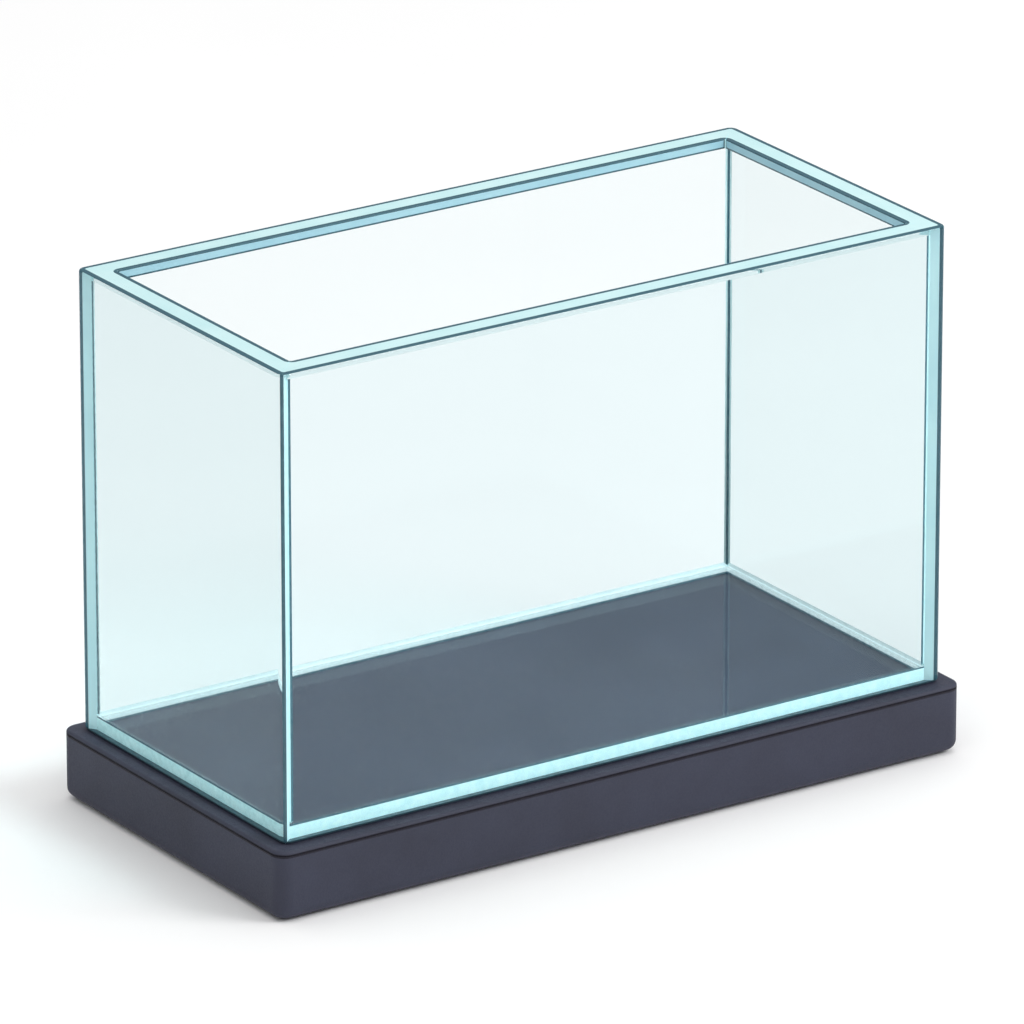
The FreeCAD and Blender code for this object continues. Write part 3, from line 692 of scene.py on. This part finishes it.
def screw_tree(material):
    """Geometry nodes that stand a pan-head screw on each point, head down. The head is the lower half of a
    flattened ball with a cross sunk in it, and the shank stands on it."""
    tree = bpy.data.node_groups.new("pan_head_screws", "GeometryNodeTree")
    tree.interface.new_socket("Points", in_out="INPUT", socket_type="NodeSocketGeometry")
    for name in ("Head radius", "Head height", "Shank radius", "Shank length", "Recess width"):
        tree.interface.new_socket(name, in_out="INPUT", socket_type="NodeSocketFloat")
    tree.interface.new_socket("Screws", in_out="OUTPUT", socket_type="NodeSocketGeometry")
    size = add(tree, "NodeGroupInput").outputs
    ball = add(tree, "GeometryNodeMeshUVSphere", {"Segments": 32, "Rings": 20, "Radius": 1.0})
    flatten = add(
        tree, "ShaderNodeCombineXYZ",
        {"X": size["Head radius"], "Y": size["Head radius"], "Z": size["Head height"]},
    )
    dome = add(tree, "GeometryNodeTransform", {"Geometry": ball, "Scale": flatten})
    wide = add(tree, "ShaderNodeMath", {0: size["Head radius"], 1: 3.0}, operation="MULTIPLY")
    block_size = add(tree, "ShaderNodeCombineXYZ", {"X": wide, "Y": wide, "Z": wide})
    block = add(tree, "GeometryNodeMeshCube", {"Size": block_size})
    lowered = add(tree, "ShaderNodeMath", {0: wide, 1: -0.5}, operation="MULTIPLY")
    under = add(tree, "ShaderNodeCombineXYZ", {"Z": lowered})
    block = add(tree, "GeometryNodeTransform", {"Geometry": block, "Translation": under})
    head = add(
        tree, "GeometryNodeMeshBoolean", {"Mesh 2": [dome, block]}, operation="INTERSECT", solver="EXACT"
    )
    bottom = add(tree, "ShaderNodeMath", {0: size["Head height"], 1: -1.0}, operation="MULTIPLY")
    drop = add(tree, "ShaderNodeCombineXYZ", {"Z": bottom})
    long = add(tree, "ShaderNodeMath", {0: size["Head radius"], 1: 1.2}, operation="MULTIPLY")
    deep = add(tree, "ShaderNodeMath", {0: size["Head height"], 1: 1.3}, operation="MULTIPLY")
    for along, across in ((long, size["Recess width"]), (size["Recess width"], long)):
        arm_size = add(tree, "ShaderNodeCombineXYZ", {"X": along, "Y": across, "Z": deep})
        arm = add(tree, "GeometryNodeMeshCube", {"Size": arm_size})
        arm = add(tree, "GeometryNodeTransform", {"Geometry": arm, "Translation": drop})
        head = add(tree, "GeometryNodeMeshBoolean", {"Mesh 1": head, "Mesh 2": arm}, solver="EXACT")
    shank = add(
        tree, "GeometryNodeMeshCylinder",
        {"Vertices": 24, "Radius": size["Shank radius"], "Depth": size["Shank length"]},
    ).outputs["Mesh"]
    half = add(tree, "ShaderNodeMath", {0: size["Shank length"], 1: 0.5}, operation="MULTIPLY")
    raised = add(tree, "ShaderNodeMath", {0: half, 1: SHANK_SUNK}, operation="SUBTRACT")
    shank = add(
        tree, "GeometryNodeTransform",
        {"Geometry": shank, "Translation": add(tree, "ShaderNodeCombineXYZ", {"Z": raised})},
    )
    screw = add(tree, "GeometryNodeJoinGeometry", {"Geometry": [head, shank]})
    placed = add(tree, "GeometryNodeInstanceOnPoints", {"Points": size["Points"], "Instance": screw})
    real = add(tree, "GeometryNodeRealizeInstances", {"Geometry": placed})
    coated = add(tree, "GeometryNodeSetMaterial", {"Geometry": real, "Material": material})
    add(tree, "NodeGroupOutput", {"Screws": coated})
    return tree


def screw_group(node, tree):
    """The screws of one group, made by the tree and kept as a plain mesh."""
    low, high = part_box(node)
    seat = low.z + SCREW_HEAD_HEIGHT
    points = bpy.data.meshes.new(f"{node}_places")
    points.from_pydata([(x, y, seat) for x, y in screw_places(node)], [], [])
    maker = bpy.data.objects.new(f"{node}_maker", points)
    bpy.context.scene.collection.objects.link(maker)
    modifier = maker.modifiers.new("screws", "NODES")
    modifier.node_group = tree
    sizes = {
        "Head radius": SCREW_HEAD_RADIUS,
        "Head height": SCREW_HEAD_HEIGHT,
        "Shank radius": SCREW_SHANK_RADIUS,
        "Shank length": high.z - seat,
        "Recess width": SCREW_RECESS_WIDTH,
    }
    for socket in tree.interface.items_tree:
        if socket.name in sizes:
            modifier[socket.identifier] = sizes[socket.name]
    evaluated = maker.evaluated_get(bpy.context.evaluated_depsgraph_get())
    mesh = bpy.data.meshes.new_from_object(evaluated)
    bpy.data.objects.remove(maker)
    mesh.shade_smooth()
    mesh.set_sharp_from_angle(angle=math.radians(35))
    settle(f"zinc_{node}", mesh, "base", node)


# ---- The object ----


def build_tank():
    edges = [
        new_material("float_glass_satin_rim", satin_rim),
        new_material("float_glass_sawn_mitre", sawn_mitre),
        new_material("float_glass_satin_lip", satin_lip),
        new_material("float_glass_polished_arris", polished_arris),
        new_material("float_glass_seated_edge", seated_edge),
    ]
    clear = new_material("float_glass_fire_polished", float_glass, "#F3F9FA", "#F2FAFA")
    # The end panes are the same glass, tinted deeper: painted shade for how they look at a slant
    deeper = new_material("float_glass_end_pane", float_glass, "#EAF3F4", "#ECF6F7")
    for nodes, body in ((LONG_PANES + BRACES, clear), (END_PANES, deeper)):
        for node in nodes:
            glass_piece(node, [body, *edges])
    rim, arris = edges[TOP - 1], edges[ARRIS - 1]
    corner = [
        new_material("silicone_clear_bond", bond),
        new_material("silicone_clear_tooled_corner", tooled_corner),
        arris,
        rim,
        new_material("silicone_clear_bead_wing", bead_wing),
    ]
    base = [
        new_material("silicone_clear_base", base_outside),
        new_material("silicone_clear_base_inner", base_inside),
        new_material("silicone_clear_tooled_floor", tooled_floor),
    ]
    for node in CORNER_SEAMS:
        corner_seam_piece(node, corner)
    for node in BASE_SEAMS:
        base_seam_piece(node, base)
    for node in BRACE_SEAMS:
        brace_seam_piece(node, [rim, base[BASE_BEAD]])


def build_plinth():
    slate = new_material("abs_moulded_slate", moulded_abs)
    foam = new_material("eva_foam_closed_cell", eva_foam)
    sheet = new_material("abs_sheet_satin_black", abs_sheet)
    smooth_piece("plinth_shell", "plinth_moulding", slate)
    smooth_piece("levelling_mat", "foam_mat", foam)
    smooth_piece("bottom_plate", "plinth_bottom_plate", sheet)
    rubber = new_material("nitrile_rubber_black", nitrile_rubber)
    for node in FEET:
        rubber_foot(node, rubber)
    tree = screw_tree(new_material("steel_zinc_plated", zinc_plate))
    for node in ("foot_screws", "plate_screws"):
        screw_group(node, tree)


# ---- Camera and light ----

AZIMUTH, ELEVATION = math.radians(-33.8), math.radians(20.6)
CAMERA_DISTANCE = 8.394
FLOOR_HALF = 30
LENS = 388.4
TARGET = Vector((-0.0011, 0.0010, 0.2145))


def place_camera():
    back = Vector((
        math.sin(AZIMUTH) * math.cos(ELEVATION),
        -math.cos(AZIMUTH) * math.cos(ELEVATION),
        math.sin(ELEVATION),
    ))
    data = bpy.data.cameras.new("camera")
    data.sensor_width = 36
    data.lens = LENS
    data.clip_end = 2 * FLOOR_HALF
    camera = bpy.data.objects.new("camera", data)
    camera.location = TARGET + back * CAMERA_DISTANCE
    camera.rotation_euler = back.to_track_quat("Z", "Y").to_euler()
    bpy.context.scene.collection.objects.link(camera)
    bpy.context.scene.camera = camera


def softbox(name, place, size, power):
    data = bpy.data.lights.new(name, "AREA")
    data.shape = "RECTANGLE"
    data.size, data.size_y = size
    data.energy = power
    light = bpy.data.objects.new(name, data)
    light.location = place
    light.rotation_euler = (Vector(place) - TARGET).to_track_quat("Z", "Y").to_euler()
    bpy.context.scene.collection.objects.link(light)


def studio_sky(scene):
    """A white tent over the studio, dim near the floor and bright overhead, so that the tank's floor mirrors
    little of it."""
    world = bpy.data.worlds.new("studio")
    world.use_nodes = True
    tree = world.node_tree
    tree.nodes.clear()
    direction = add(tree, "ShaderNodeTexCoord").outputs["Generated"]
    up = add(tree, "ShaderNodeSeparateXYZ", {0: direction}).outputs["Z"]
    glow = add(
        tree, "ShaderNodeMapRange",
        {"Value": up, "From Min": 0.3, "From Max": 0.95, "To Min": 0.27, "To Max": 1.37},
    )
    sky = add(tree, "ShaderNodeBackground", {"Color": colour("#FFFFFF"), "Strength": glow})
    add(tree, "ShaderNodeOutputWorld", {"Surface": sky})
    scene.world = world


def lay_floor():
    bm = bmesh.new()
    sides = ((-1, -1), (1, -1), (1, 1), (-1, 1))
    bm.faces.new([bm.verts.new((x * FLOOR_HALF, y * FLOOR_HALF, 0)) for x, y in sides])
    mesh = bpy.data.meshes.new("floor")
    bm.to_mesh(mesh)
    bm.free()
    mesh.materials.append(new_material("floor_matt_white_paint", white_paint))
    floor = bpy.data.objects.new("floor", mesh)
    bpy.context.scene.collection.objects.link(floor)


def build_studio():
    scene = bpy.context.scene
    studio_sky(scene)
    softbox("key_right_front", (2.2, -2.6, 2.4), (1.8, 1.8), 72)
    lay_floor()
    scene.view_settings.view_transform = "Standard"
    # A line of sight crosses up to four panes and their silicone, two faces each
    scene.cycles.max_bounces = 24
    scene.cycles.transmission_bounces = 20
    scene.cycles.transparent_max_bounces = 24


place_camera()
build_tank()
build_plinth()
build_studio()
